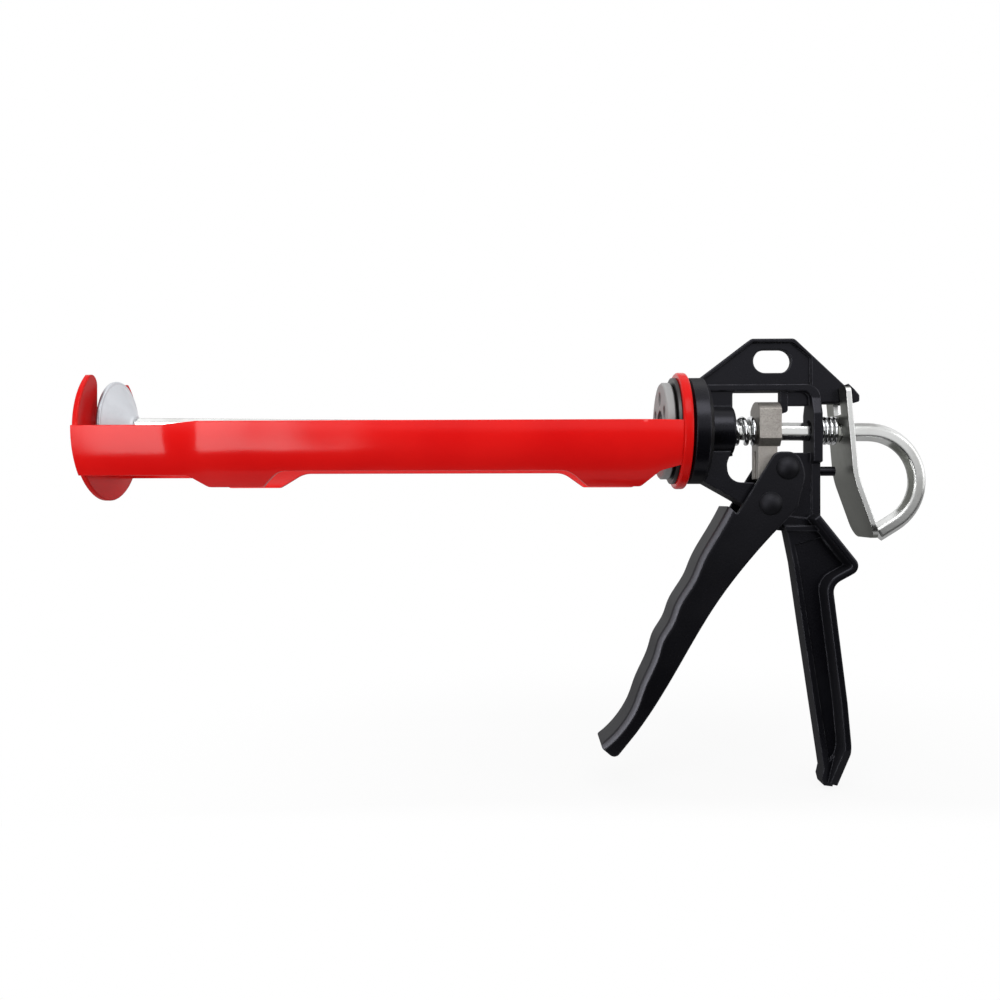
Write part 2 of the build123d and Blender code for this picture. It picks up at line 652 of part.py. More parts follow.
def drive_grip():
    """Sintered grip that bites the rod, with a tail that the drive pin pushes."""
    reach = GRIP_HALF**2 / 2 / 3.2 + 1.6
    crown = Pos(0, GRIP_TOP - reach) * Circle(reach)
    block = Pos(0, (GRIP_TOP + GRIP_LOW) / 2) * Rectangle(2 * GRIP_HALF, GRIP_TOP - GRIP_LOW)
    neck = make_face(
        Polyline(
            (-GRIP_HALF, GRIP_LOW),
            (GRIP_HALF, GRIP_LOW),
            (TAIL_HALF, TAIL_FROM_Z),
            (TAIL_HALF, TAIL_LOW),
            (-TAIL_HALF, TAIL_LOW),
            (-TAIL_HALF, TAIL_FROM_Z),
            close=True,
        )
    )
    front = Plane.YZ.offset(GRIP_X) * ((crown & block) + neck)
    grip = extrude(front, amount=GRIP_REAR_X - GRIP_X)
    relief = Pos((TAIL_REAR_X + GRIP_REAR_X + 1) / 2, 0, (TAIL_FROM_Z + TAIL_LOW) / 2 - 1)
    grip = grip - relief * Box(GRIP_REAR_X + 1 - TAIL_REAR_X, 30, TAIL_FROM_Z - TAIL_LOW + 2)
    groove = Pos(GRIP_X, 0, (TAIL_FROM_Z + TAIL_LOW) / 2 - 2) * Box(2.4, 3.0, TAIL_FROM_Z - TAIL_LOW)
    grip = grip - groove
    return grip - canted(hexagon(GRIP_X - 1, GRIP_REAR_X + 1, ROD_FLATS + 2 * ROD_SLIDE_GAP))


def helix_point(start_x, pitch, radius, turns):
    """Point of a coil about the rod axis after the given number of turns."""
    angle = 2 * math.pi * turns
    return Vector(start_x + pitch * turns, radius * math.cos(angle), radius * math.sin(angle))


def helix_tangent(pitch, radius, turns):
    """Unit direction of the coil after the given number of turns."""
    angle = 2 * math.pi * turns
    round_trip = 2 * math.pi * radius
    return Vector(pitch, -round_trip * math.sin(angle), round_trip * math.cos(angle)).normalized()


def biarc(start, start_way, end, end_way):
    """Two arcs that join two points along the given directions."""
    chord = end - start
    both = start_way + end_way
    spread = 2 * (1 - start_way.dot(end_way))
    along = chord.dot(both)
    reach = (-along + math.sqrt(along**2 + spread * chord.dot(chord))) / spread
    first = start + start_way * reach
    second = end - end_way * reach
    middle = (first + second) * 0.5
    middle_way = (second - first).normalized()
    return [Edge.make_tangent_arc(start, start_way, middle), Edge.make_tangent_arc(middle, middle_way, end)]


def coil_spring(name, start_x, end_x, coil_r, wire_r, turns):
    """Open coil spring between two faces, one unbroken wire, and a print of its least gap to itself."""
    first_x = start_x + wire_r
    pitch = (end_x - start_x - 2 * wire_r) / turns
    steps = round(4 * turns)
    edges = []
    for step in range(steps):
        a = step / 4
        b = (step + 1) / 4
        edges += biarc(
            helix_point(first_x, pitch, coil_r, a),
            helix_tangent(pitch, coil_r, a),
            helix_point(first_x, pitch, coil_r, b),
            helix_tangent(pitch, coil_r, b),
        )
    path = Wire(edges)
    section = Plane(origin=path @ 0, z_dir=path % 0) * Circle(wire_r)
    samples = [helix_point(first_x, pitch, coil_r, index / 48) for index in range(round(48 * turns) + 1)]
    least = min(
        (samples[i] - samples[j]).length
        for i in range(len(samples))
        for j in range(i + 24, len(samples))
    )
    print(name, "least gap between turns", round(least - 2 * wire_r, 2), "mm")
    return sweep(section, path=path)


def release_plate():
    """Release plate, forked over the ear at the top and bent back at its lower end."""
    spine = FilletPolyline(
        (PLATE_TOP_X, PLATE_TOP + 0.5),
        (PLATE_BEND_X, PLATE_BEND_Z),
        (PLATE_END_X, PLATE_END_Z - 0.5),
        radius=PLATE_BEND_R,
    )
    strip = extrude(Plane.XZ * trace(spine, line_width=PLATE), amount=PLATE_HALF, both=True)
    outline = FilletPolyline(
        (-PLATE_HALF, PLATE_TOP),
        (PLATE_HALF, PLATE_TOP),
        (PLATE_HALF, PLATE_END_Z),
        (-PLATE_HALF, PLATE_END_Z),
        radius=[2.0, 2.0, 5.5, 5.5],
        close=True,
    )
    blank = Plane.YZ.offset(PLATE_TOP_X - 5) * make_face(outline)
    plate = strip & extrude(blank, amount=PLATE_END_X - PLATE_TOP_X + 10)
    fork = Pos(PLATE_TOP_X, 0, (PLATE_TOP + FORK_LOW) / 2 + 1)
    plate = plate - fork * Box(10, 2 * FORK_HALF, PLATE_TOP - FORK_LOW + 2)
    return plate - canted(hexagon(PLATE_TOP_X - 5, PLATE_BEND_X + 5, ROD_FLATS + 2 * ROD_LOOSE_GAP))


pieces = {
    "left_rail": cradle_rail(-1),
    "right_rail": cradle_rail(1),
    "front_plate": front_plate(),
    "rear_ring": rear_ring(),
    "handle_body": handle_body(),
    "rod_guide": rod_guide(),
    "cradle_nut": cradle_nut(),
    "front_thrust_washer": tube(SHOULDER_X, RING_X - AXIAL_PLAY, FRONT_WASHER_R, WASHER_BORE_R),
    "rear_thrust_washer": tube(COLLAR_X - REAR_WASHER, COLLAR_X, REAR_WASHER_R, WASHER_BORE_R),
    "push_rod": push_rod(),
    "pusher_disc": pusher_disc(),
    "pusher_washer": pusher_washer(),
    "pusher_nut": pusher_nut(),
    "trigger": trigger(),
    "pivot_rivet": rivet(PIVOT_X, PIVOT_Z),
    "drive_rivet": rivet(PIN_X, PIN_Z),
    "pivot_bush": pivot_bush(),
    "drive_grip": drive_grip(),
    "drive_spring": coil_spring(
        "drive spring", DRIVE_SEAT_X, GRIP_X, DRIVE_COIL_R, DRIVE_WIRE_R, DRIVE_TURNS
    ),
    "release_plate": release_plate(),
    "release_spring": coil_spring(
        "release spring", REAR_BOSS_X, RELEASE_END_X, RELEASE_COIL_R, RELEASE_WIRE_R, RELEASE_TURNS
    ),
}

os.makedirs("parts", exist_ok=True)
for name, piece in pieces.items():
    export_step(piece, "parts/" + name + ".step")
    print(name, len(piece.solids()), "solid", round(piece.volume), "mm3")
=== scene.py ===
"""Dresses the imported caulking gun: finishes, wound springs, studio and camera, all in the frame of the solids."""
import logging
import math
from abc import ABC, abstractmethod
from dataclasses import astuple, dataclass, field, replace
from enum import Enum
from typing import Union

import bpy
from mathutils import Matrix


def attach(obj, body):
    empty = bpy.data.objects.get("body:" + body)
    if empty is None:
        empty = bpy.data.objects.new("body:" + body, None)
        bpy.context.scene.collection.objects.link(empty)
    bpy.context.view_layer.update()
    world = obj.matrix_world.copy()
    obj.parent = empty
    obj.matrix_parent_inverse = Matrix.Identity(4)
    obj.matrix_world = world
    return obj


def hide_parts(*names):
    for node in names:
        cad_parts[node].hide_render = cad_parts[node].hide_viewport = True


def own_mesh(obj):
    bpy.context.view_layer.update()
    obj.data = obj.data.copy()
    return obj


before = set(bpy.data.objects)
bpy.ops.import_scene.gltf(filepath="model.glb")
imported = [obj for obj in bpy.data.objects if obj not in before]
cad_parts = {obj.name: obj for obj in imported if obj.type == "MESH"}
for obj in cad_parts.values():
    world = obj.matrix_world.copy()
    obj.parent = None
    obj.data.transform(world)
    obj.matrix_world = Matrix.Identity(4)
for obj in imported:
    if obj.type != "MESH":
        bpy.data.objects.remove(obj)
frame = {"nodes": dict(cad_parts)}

LOG = logging.getLogger("caulking_gun")
MM = 0.001
SPRING_BODY = "frame"

Vec3 = tuple[float, float, float]
Rgb = tuple[float, float, float]
Band = tuple[float, float]

EVEN: Vec3 = (1.0, 1.0, 1.0)
WHITE: Rgb = (1.0, 1.0, 1.0)


class Slot(Enum):
    """The record's material slots."""

    RED_PAINT = "red_paint"
    BLACK_CASTING = "black_casting"
    BLACK_PAINT = "black_paint"
    GREY_CASTING = "grey_casting"
    ZINC_STEEL = "zinc_steel"
    BRIGHT_WIRE = "bright_wire"
    SINTERED_STEEL = "sintered_steel"
    GUIDE_PLASTIC = "guide_plastic"
    BRONZE = "bronze"


class Joint(Enum):
    """The joints that press the springs together."""

    DRIVE_SLIDE = "drive_slide"
    RELEASE_TILT = "release_tilt"


class Grain(Enum):
    """The direction in which a drawn or brushed metal is streaked."""

    ALONG_X = (0.04, 1.0, 1.0)
    ALONG_Z = (1.0, 1.0, 0.06)
    NONE = EVEN


def linear(red: int, green: int, blue: int) -> Rgb:
    """Turns a display colour into a scene-linear one, by the display standard's curve.

    Args:
        red: Display value from 0 to 255.
        green: Display value from 0 to 255.
        blue: Display value from 0 to 255.

    Returns:
        The linear red, green and blue.
    """
    shares = [value / 255 for value in (red, green, blue)]
    return tuple(s / 12.92 if s <= 0.04045 else ((s + 0.055) / 1.055) ** 2.4 for s in shares)


def opaque(colour: Rgb) -> tuple[float, float, float, float]:
    """Gives a colour the fourth value that a colour socket takes."""
    return (*colour, 1.0)


class Signal:
    """An output socket of a shader or geometry tree; arithmetic on it adds Math nodes."""

    def __init__(self, graph: "Graph", socket: bpy.types.NodeSocket | None) -> None:
        """Holds the socket and the graph that it belongs to."""
        self.graph = graph
        self.socket = socket

    def out(self, name: str | int) -> "Signal":
        """Gives another output of the same node."""
        return Signal(self.graph, self.socket.node.outputs[name])

    def _math(self, operation: str, first: "Feed", second: "Feed") -> "Signal":
        """Adds one Math node on two values."""
        return self.graph.node("ShaderNodeMath", {"operation": operation}, {0: first, 1: second})

    def __add__(self, other: "Feed") -> "Signal":
        """Adds a value."""
        return self._math("ADD", self, other)

    def __radd__(self, other: "Feed") -> "Signal":
        """Is added to a value."""
        return self._math("ADD", other, self)

    def __sub__(self, other: "Feed") -> "Signal":
        """Takes a value away."""
        return self._math("SUBTRACT", self, other)

    def __rsub__(self, other: "Feed") -> "Signal":
        """Is taken away from a value."""
        return self._math("SUBTRACT", other, self)

    def __mul__(self, other: "Feed") -> "Signal":
        """Multiplies by a value."""
        return self._math("MULTIPLY", self, other)

    def __rmul__(self, other: "Feed") -> "Signal":
        """Multiplies a value."""
        return self._math("MULTIPLY", other, self)

    def __truediv__(self, other: "Feed") -> "Signal":
        """Divides by a value."""
        return self._math("DIVIDE", self, other)

    def most(self, other: "Feed") -> "Signal":
        """Gives the larger of two values."""
        return self._math("MAXIMUM", self, other)

    def least(self, other: "Feed") -> "Signal":
        """Gives the smaller of two values."""
        return self._math("MINIMUM", self, other)

    def ramp(self, band: Band) -> "Signal":
        """Rises smoothly from 0 to 1.

        Args:
            band: The value that gives 0 and the value that gives 1.

        Returns:
            The smoothed share.
        """
        low, high = band
        settings = {"interpolation_type": "SMOOTHSTEP", "clamp": True}
        return self.graph.node("ShaderNodeMapRange", settings, {0: self, 1: low, 2: high, 3: 0.0, 4: 1.0})


Feed = Union[Signal, float, int, tuple]


@dataclass(frozen=True)
class Rise:
    """A level that climbs from its base as a value goes through a band."""

    band: Band
    base: float
    climb: float

    def at(self, value: Signal) -> Signal:
        """Gives the level at a value."""
        return value.ramp(self.band) * self.climb + self.base


@dataclass(frozen=True)
class Noise:
    """A cloud pattern: clouds in a metre, octaves, weight of the finer octaves, and the share along each axis."""

    scale: float
    detail: float = 2.0
    rough: float = 0.5
    stretch: Vec3 = EVEN


class Graph:
    """A node tree that is written by one generic method."""

    def __init__(self, tree: bpy.types.NodeTree) -> None:
        """Holds the tree."""
        self.tree = tree

    def node(
        self, kind: str, settings: dict | None = None, sockets: dict | None = None, output: str | int = 0
    ) -> Signal:
        """Adds a node.

        Args:
            kind: The node's type.
            settings: Attributes, set before anything is linked.
            sockets: Input names or places, each with a value or a signal.
            output: The output to hand back.

        Returns:
            The node's output as a signal.
        """
        made = self.tree.nodes.new(kind)
        for name, value in (settings or {}).items():
            setattr(made, name, value)
        for name, value in (sockets or {}).items():
            target = made.inputs[name]
            if isinstance(value, Signal):
                self.tree.links.new(value.socket, target)
            else:
                target.default_value = value
        return Signal(self, made.outputs[output] if len(made.outputs) else None)

    def rays(self) -> tuple[Signal, Signal]:
        """Tells rays apart.

        Returns:
            1 for a ray from the camera, and 1 for a ray off metal or through glass.
        """
        seen = self.node("ShaderNodeLightPath", output="Is Camera Ray")
        return seen, seen.out("Is Glossy Ray").most(seen.out("Is Transmission Ray"))


class Surface(Graph):
    """The shader graph of one finish, with the patterns that the finishes share."""

    SAMPLES = 6
    EDGE_BAND = (0.004, 0.16)
    # Places of the Mix node's sockets when it mixes colours.
    MIX_SHARE, MIX_FIRST, MIX_SECOND, MIX_RESULT = 0, 6, 7, 2

    def __init__(self, name: str) -> None:
        """Starts an empty material.

        Args:
            name: The material's name.
        """
        self.material = bpy.data.materials.new(name)
        self.material.use_nodes = True
        super().__init__(self.material.node_tree)
        self.tree.nodes.clear()
        self.place = self.node("ShaderNodeTexCoord", output="Object")

    def noise(self, pattern: Noise) -> Signal:
        """A cloud pattern fixed to the object.

        Args:
            pattern: The pattern's sizes.

        Returns:
            Values around one half.
        """
        place = self.place
        if pattern.stretch != EVEN:
            place = self.node("ShaderNodeMapping", sockets={"Vector": place, "Scale": pattern.stretch})
        sockets = {
            "Vector": place, "Scale": pattern.scale, "Detail": pattern.detail, "Roughness": pattern.rough}
        return self.node("ShaderNodeTexNoise", {"normalize": True}, sockets)

    def blend(self, share: Feed, first: Feed, second: Feed) -> Signal:
        """Mixes two colours.

        Args:
            share: 0 for the first colour, 1 for the second.
            first: A colour or signal.
            second: A colour or signal.

        Returns:
            The mixed colour.
        """
        first = opaque(first) if isinstance(first, tuple) else first
        second = opaque(second) if isinstance(second, tuple) else second
        sockets = {self.MIX_SHARE: share, self.MIX_FIRST: first, self.MIX_SECOND: second}
        return self.node("ShaderNodeMix", {"data_type": "RGBA"}, sockets, self.MIX_RESULT)

    def rounded(self, radius: float) -> Signal:
        """The surface's normal with its edges rounded over."""
        return self.node("ShaderNodeBevel", {"samples": self.SAMPLES}, {"Radius": radius})

    def edge(self, rounded: Signal) -> Signal:
        """How near an edge is.

        Args:
            rounded: The rounded normal.

        Returns:
            0 on a face, towards 1 at an edge.
        """
        plain = self.node("ShaderNodeNewGeometry", output="Normal")
        sockets = {0: rounded, 1: plain}
        along = self.node("ShaderNodeVectorMath", {"operation": "DOT_PRODUCT"}, sockets, "Value")
        return (1.0 - along).ramp(self.EDGE_BAND)

    def crevice(self, reach: float) -> Signal:
        """How deep in a corner a point lies.

        Args:
            reach: The distance looked around, in metres.

        Returns:
            0 in the open, towards 1 in a corner.
        """
        settings = {"samples": self.SAMPLES}
        return 1.0 - self.node("ShaderNodeAmbientOcclusion", settings, {"Distance": reach}, "AO")

    def looking(self, axis: str) -> Signal:
        """How far a face looks along an axis, either way.

        Args:
            axis: The axis, as a capital letter.

        Returns:
            0 across the axis, towards 1 along it.
        """
        facing = self.node("ShaderNodeNewGeometry", output="True Normal")
        along = self.node("ShaderNodeSeparateXYZ", sockets={0: facing}, output=axis)
        return along.most(0.0 - along)

    def turned(self) -> Signal:
        """How far a face turns away from the gun's two sides, from 0 to 1."""
        return 1.0 - self.looking("Y")

    def bump(self, height: Signal, strength: float, depth: float, normal: Signal) -> Signal:
        """Roughens a normal.

        Args:
            height: The height pattern.
            strength: Share of the effect.
            depth: Height of the pattern in metres.
            normal: The normal that is roughened.

        Returns:
            The roughened normal.
        """
        sockets = {"Strength": strength, "Distance": depth, "Height": height, "Normal": normal}
        return self.node("ShaderNodeBump", sockets=sockets)

    def finish(self, **sockets: Feed) -> bpy.types.Material:
        """Closes the graph with its shader.

        Args:
            **sockets: The shader's sockets, with underscores for spaces.

        Returns:
            The finished material.
        """
        named = {
            name.replace("_", " "): opaque(value) if isinstance(value, tuple) else value
            for name, value in sockets.items()
        }
        shader = self.node("ShaderNodeBsdfPrincipled", sockets=named)
        self.node("ShaderNodeOutputMaterial", sockets={"Surface": shader})
        return self.material


@dataclass(frozen=True)
class Finish(ABC):
    """A surface finish that dresses pieces."""

    name: str
    slot: Slot

    @abstractmethod
    def material(self) -> bpy.types.Material:
        """Builds the material."""

    def dress(self, *pieces: bpy.types.Object) -> None:
        """Puts the finish on pieces.

        Args:
            *pieces: The objects that take it.
        """
        made = bpy.data.materials.get(self.name) or self.material()
        for piece in pieces:
            piece.data.materials.clear()
            piece.data.materials.append(made)


@dataclass(frozen=True)
class Enamel(Finish):
    """Gloss enamel over pressed steel."""

    body: Rgb
    deep: Rgb
    rim: Rgb
    gloss: float
    rough: float = 0.14
    edge_radius: float = 0.5 * MM
    clouds: Noise = Noise(26.0, 3.0)
    cloud_band: Band = (0.3, 0.7)
    cloud_rough: float = 0.08
    wear: Noise = Noise(240.0, 4.0)
    wear_band: Band = (0.35, 0.7)
    wear_pale: float = 0.55
    wear_rough: float = 0.15
    dust: Noise = Noise(900.0)
    dust_band: Band = (0.66, 0.8)
    dust_rough: float = 0.05
    waves: Noise = Noise(24.0, 1.0)
    wave_share: float = 1.0
    wave_depth: float = 1.2 * MM
    peel: Noise = Noise(520.0)
    peel_share: float = 0.06
    peel_depth: float = 0.3 * MM

    def material(self) -> bpy.types.Material:
        """Builds the material.

        Returns:
            Clouded enamel on wavy steel, with thin paint on its edges and an orange-peel skin.
        """
        s = Surface(self.name)
        rounded = s.rounded(self.edge_radius)
        clouds = s.noise(self.clouds)
        wear = s.edge(rounded) * s.noise(self.wear).ramp(self.wear_band)
        colour = s.blend(clouds.ramp(self.cloud_band), self.deep, self.body)
        colour = s.blend(wear * self.wear_pale, colour, self.rim)
        dust = s.noise(self.dust).ramp(self.dust_band)
        rough = self.rough + clouds * self.cloud_rough + dust * self.dust_rough + wear * self.wear_rough
        wavy = s.bump(s.noise(self.waves), self.wave_share, self.wave_depth, rounded)
        skin = s.bump(s.noise(self.peel), self.peel_share, self.peel_depth, wavy)
        return s.finish(Base_Color=colour, Roughness=rough, Normal=skin, Specular_IOR_Level=self.gloss)


@dataclass(frozen=True)
class Casting(Finish):
    """Satin coat on a casting or a pressing; its walls are the faces that don't look sideways."""

    face: Rgb
    rim: Rgb
    # Colour of the painted shade in corners and hollows.
    painted_shade: Rgb
    rough: float
    peel_share: float
    gloss: float
    sheen: Rgb = WHITE
    edge_radius: float = 0.7 * MM
    clouds: Noise = Noise(34.0, 4.0)
    cloud_band: Band = (0.45, 0.8)
    cloud_pale: float = 0.02
    cloud_rough: float = 0.10
    # Edges are paler, partly from rubbed paint and partly from a painted highlight.
    rub_and_highlight_noise: Noise = Noise(180.0, 5.0, 0.65)
    rub_and_highlight_band: Band = (0.3, 0.75)
    rub_and_highlight_pale: float = 0.65
    rub_polish: float = 0.10
    specks: Noise = Noise(2400.0)
    speck_band: Band = (0.62, 0.78)
    speck_pale: float = 0.03
    speck_rough: float = 0.06
    # Painted shade in corners: how far the corner test looks, its band and its share.
    painted_shade_reach: float = 2.4 * MM
    painted_shade_band: Band = (0.15, 0.75)
    painted_shade_strength: float = 0.8
    # Shares of turning away from the gun's sides: on walls, and from where to where on rounded edges, which take a
    # painted highlight.
    wall_band: Band = (0.3, 0.7)
    wall_rough: float = 0.0
    fillet_band: Band = (0.01, 0.06)
    fillet_end_band: Band = (0.25, 0.6)
    fillet_painted_highlight: float = 0.0
    peel: Noise = Noise(1300.0, 3.0)
    swell: Noise = Noise(260.0)
    swell_share: float = 0.8
    peel_depth: float = 0.25 * MM

    def material(self) -> bpy.types.Material:
        """Builds the material.

        Returns:
            A satin coat, paler on edges, partly from rubbed paint and partly from a painted highlight, with painted
            shade in corners and, where asked, a painted highlight on rounded fillets.
        """
        s = Surface(self.name)
        rounded = s.rounded(self.edge_radius)
        clouds = s.noise(self.clouds)
        # Paler edges: rubbed paint mixed with a painted highlight along the edges.
        rub_and_highlight = s.edge(rounded) * s.noise(self.rub_and_highlight_noise).ramp(self.rub_and_highlight_band)
        speck = s.noise(self.specks).ramp(self.speck_band)
        # Painted shade: corners and hollows take the darker colour, where shade falls.
        painted_shade = s.crevice(self.painted_shade_reach).ramp(self.painted_shade_band)
        colour = s.blend(painted_shade * self.painted_shade_strength, self.face, self.painted_shade)
        pale = rub_and_highlight * self.rub_and_highlight_pale + speck * self.speck_pale + clouds.ramp(self.cloud_band) * self.cloud_pale
        colour = s.blend(pale, colour, self.rim)
        rough = self.rough + clouds * self.cloud_rough - rub_and_highlight * self.rub_polish + speck * self.speck_rough
        if self.wall_rough:
            rough = rough + s.turned().ramp(self.wall_band) * self.wall_rough
        # Painted highlight: rounded fillets between the sides and the walls take the pale edge colour.
        if self.fillet_painted_highlight:
            turned = s.turned()
            fillet_highlight = turned.ramp(self.fillet_band) * (1.0 - turned.ramp(self.fillet_end_band))
            colour = s.blend(fillet_highlight * self.fillet_painted_highlight, colour, self.rim)
        height = s.noise(self.peel) + s.noise(self.swell) * self.swell_share
        skin = s.bump(height, self.peel_share, self.peel_depth, rounded)
        return s.finish(
            Base_Color=colour, Roughness=rough, Normal=skin, Specular_IOR_Level=self.gloss,
            Specular_Tint=self.sheen)


@dataclass(frozen=True)
class Plated(Finish):
    """Plated or bare metal with the streaks of its bar or sheet; faces that look towards the gun's sides may take
    painted light and shade of their own.
    """

    face: Rgb
    # Colour of duller patches, and of the painted shade in corners.
    dull_and_shade: Rgb
    rough: float
    grain: Grain = Grain.NONE
    edge_radius: float = 0.4 * MM
    # Painted light and shade on faces that look towards the gun's sides: its colour, band and polish.
    sideways_painted_light: Rgb | None = None
    sideways_painted_light_band: Band = (0.55, 0.85)
    sheared_polish: float = 0.12
    clouds: Noise = Noise(60.0, 4.0)
    cloud_band: Band = (0.45, 0.75)
    cloud_dull: float = 0.6
    cloud_rough: float = 0.10
    # Painted shade in corners: how far the corner test looks, its band and its share.
    painted_shade_reach: float = 1.6 * MM
    painted_shade_band: Band = (0.2, 0.8)
    painted_shade_share: float = 0.4
    streaks: Noise = Noise(1500.0, 3.0)
    streak_rough: float = 0.10
    streak_share: float = 0.06
    streak_depth: float = 0.12 * MM

    def material(self) -> bpy.types.Material:
        """Builds the material.

        Returns:
            Streaked metal with duller patches, painted shade in its corners, and painted light and shade on faces
            that look towards the gun's sides.
        """
        s = Surface(self.name)
        rounded = s.rounded(self.edge_radius)
        clouds = s.noise(self.clouds)
        streaks = s.noise(replace(self.streaks, stretch=self.grain.value))
        # Painted shade: corners, and the gaps between a spring's coils, take the duller colour.
        painted_shade = s.crevice(self.painted_shade_reach).ramp(self.painted_shade_band)
        dull_and_shade = clouds.ramp(self.cloud_band) * self.cloud_dull + painted_shade * self.painted_shade_share
        colour = s.blend(dull_and_shade, self.face, self.dull_and_shade)
        rough = self.rough + clouds * self.cloud_rough + streaks * self.streak_rough
        # Painted light and shade: faces that look along Y take their own colour, darker on the pusher and paler on
        # the release plate's edges.
        if self.sideways_painted_light:
            side = s.looking("Y").ramp(self.sideways_painted_light_band)
            colour = s.blend(side, colour, self.sideways_painted_light)
            rough = rough - side * self.sheared_polish
        skin = s.bump(streaks, self.streak_share, self.streak_depth, rounded)
        return s.finish(Base_Color=colour, Roughness=rough, Metallic=1.0, Normal=skin)


@dataclass(frozen=True)
class Sintered(Finish):
    """Pressed and sintered steel with its open pores."""

    face: Rgb
    pore: Rgb
    glint: Rgb
    flank_painted_shade: Rgb
    rough: float = 0.34
    metal: float = 0.9
    edge_radius: float = 0.35 * MM
    pores: Noise = Noise(3200.0, 3.0, 0.65)
    pore_band: Band = (0.52, 0.66)
    pore_rough: float = 0.16
    pore_share: float = 0.30
    pore_depth: float = 0.2 * MM
    glint_band: Band = (0.44, 0.32)
    glint_pale: float = 0.8
    clouds: Noise = Noise(120.0, 4.0)
    cloud_band: Band = (0.5, 0.8)
    cloud_dark: float = 0.35
    flank_band: Band = (0.4, 0.8)
    flank_painted_shade_share: float = 0.85

    def material(self) -> bpy.types.Material:
        """Builds the material.

        Returns:
            Speckled matte metal, with painted shade on the flanks that look along the rod.
        """
        s = Surface(self.name)
        rounded = s.rounded(self.edge_radius)
        pores = s.noise(self.pores)
        clouds = s.noise(self.clouds)
        colour = s.blend(pores.ramp(self.pore_band), self.face, self.pore)
        colour = s.blend(pores.ramp(self.glint_band) * self.glint_pale, colour, self.glint)
        colour = s.blend(clouds.ramp(self.cloud_band) * self.cloud_dark, colour, self.pore)
        # Painted shade: faces that look along the rod take the darker colour of the flanks.
        colour = s.blend(s.looking("X").ramp(self.flank_band) * self.flank_painted_shade_share, colour, self.flank_painted_shade)
        rough = self.rough + pores * self.pore_rough
        skin = s.bump(pores, self.pore_share, self.pore_depth, rounded)
        return s.finish(Base_Color=colour, Roughness=rough, Metallic=self.metal, Normal=skin)


BLUE_SHEEN = (0.86, 0.86, 1.0)
# Colour of the painted shade in the coats' corners.
COAT_PAINTED_SHADE = linear(2, 2, 2)
RED = Enamel(
    "red_gloss_enamel", Slot.RED_PAINT,
    body=linear(228, 22, 20), deep=linear(220, 17, 17), rim=linear(232, 66, 58), gloss=0.28)
# A darker copy of the red enamel: painted shade on the front plate and the ring.
RED_PAINTED_SHADE = Enamel(
    "red_enamel_painted_shade", Slot.RED_PAINT,
    body=linear(208, 20, 18), deep=linear(200, 16, 15), rim=linear(222, 66, 58), gloss=0.10)
BLACK_CAST = Casting(
    "black_cast_coat", Slot.BLACK_CASTING,
    face=linear(6, 6, 9), rim=linear(96, 96, 102), painted_shade=COAT_PAINTED_SHADE,
    rough=0.22, peel_share=0.10, gloss=0.27, sheen=BLUE_SHEEN, wall_rough=0.45)
BLACK_STEEL = Casting(
    "black_pressed_coat", Slot.BLACK_PAINT,
    face=linear(7, 7, 9), rim=linear(86, 86, 91), painted_shade=COAT_PAINTED_SHADE,
    # The trigger's rounded fillets take a painted highlight.
    rough=0.20, peel_share=0.06, gloss=0.28, sheen=BLUE_SHEEN, wall_rough=0.30, fillet_painted_highlight=0.9,
    edge_radius=1.0 * MM)
BLACK_RIVET = Casting(
    "black_rivet_coat", Slot.BLACK_PAINT,
    face=linear(10, 10, 12), rim=linear(70, 70, 75), painted_shade=COAT_PAINTED_SHADE,
    rough=0.46, peel_share=0.06, gloss=0.24, sheen=BLUE_SHEEN)
GREY_CAST = Casting(
    "bare_die_cast", Slot.GREY_CASTING,
    face=linear(146, 146, 146), rim=linear(196, 196, 196), painted_shade=linear(14, 14, 14),
    rough=0.46, peel_share=0.16, gloss=0.5, painted_shade_reach=5.0 * MM)
NYLON = Casting(
    "black_nylon", Slot.GUIDE_PLASTIC,
    face=linear(14, 14, 15), rim=linear(36, 36, 38), painted_shade=linear(4, 4, 4),
    rough=0.5, peel_share=0.06, gloss=0.3)
ZINC = Plated(
    "zinc_plate", Slot.ZINC_STEEL,
    face=linear(220, 223, 228), dull_and_shade=linear(190, 193, 198), rough=0.36, sideways_painted_light=linear(132, 135, 140))
ZINC_DULL = Plated(
    "zinc_plate_dull", Slot.ZINC_STEEL,
    face=linear(128, 129, 124), dull_and_shade=linear(98, 99, 92), rough=0.30, grain=Grain.ALONG_Z,
    sideways_painted_light=linear(240, 241, 240))
ZINC_BAR = Plated(
    "zinc_drawn_bar", Slot.ZINC_STEEL,
    face=linear(238, 239, 238), dull_and_shade=linear(200, 200, 196), rough=0.05, grain=Grain.ALONG_X,
    streak_share=0.015, edge_radius=1.35 * MM)
# Zinc plate in dark grey: painted shade on the front thrust washer, between the nut and the ring.
ZINC_PAINTED_SHADE = Plated(
    "zinc_painted_shade", Slot.ZINC_STEEL,
    face=linear(78, 78, 78), dull_and_shade=linear(48, 48, 48), rough=0.34)
WIRE = Plated(
    "bright_spring_wire", Slot.BRIGHT_WIRE,
    face=linear(232, 233, 235), dull_and_shade=linear(120, 121, 124), rough=0.02, streak_share=0.01)
BRONZE = Plated(
    "oiled_bronze", Slot.BRONZE,
    face=linear(176, 138, 84), dull_and_shade=linear(110, 82, 46), rough=0.3)
SINTER = Sintered(
    "sintered_grip_steel", Slot.SINTERED_STEEL,
    face=linear(178, 173, 168), pore=linear(120, 114, 108), glint=linear(214, 210, 205),
    flank_painted_shade=linear(104, 98, 92))


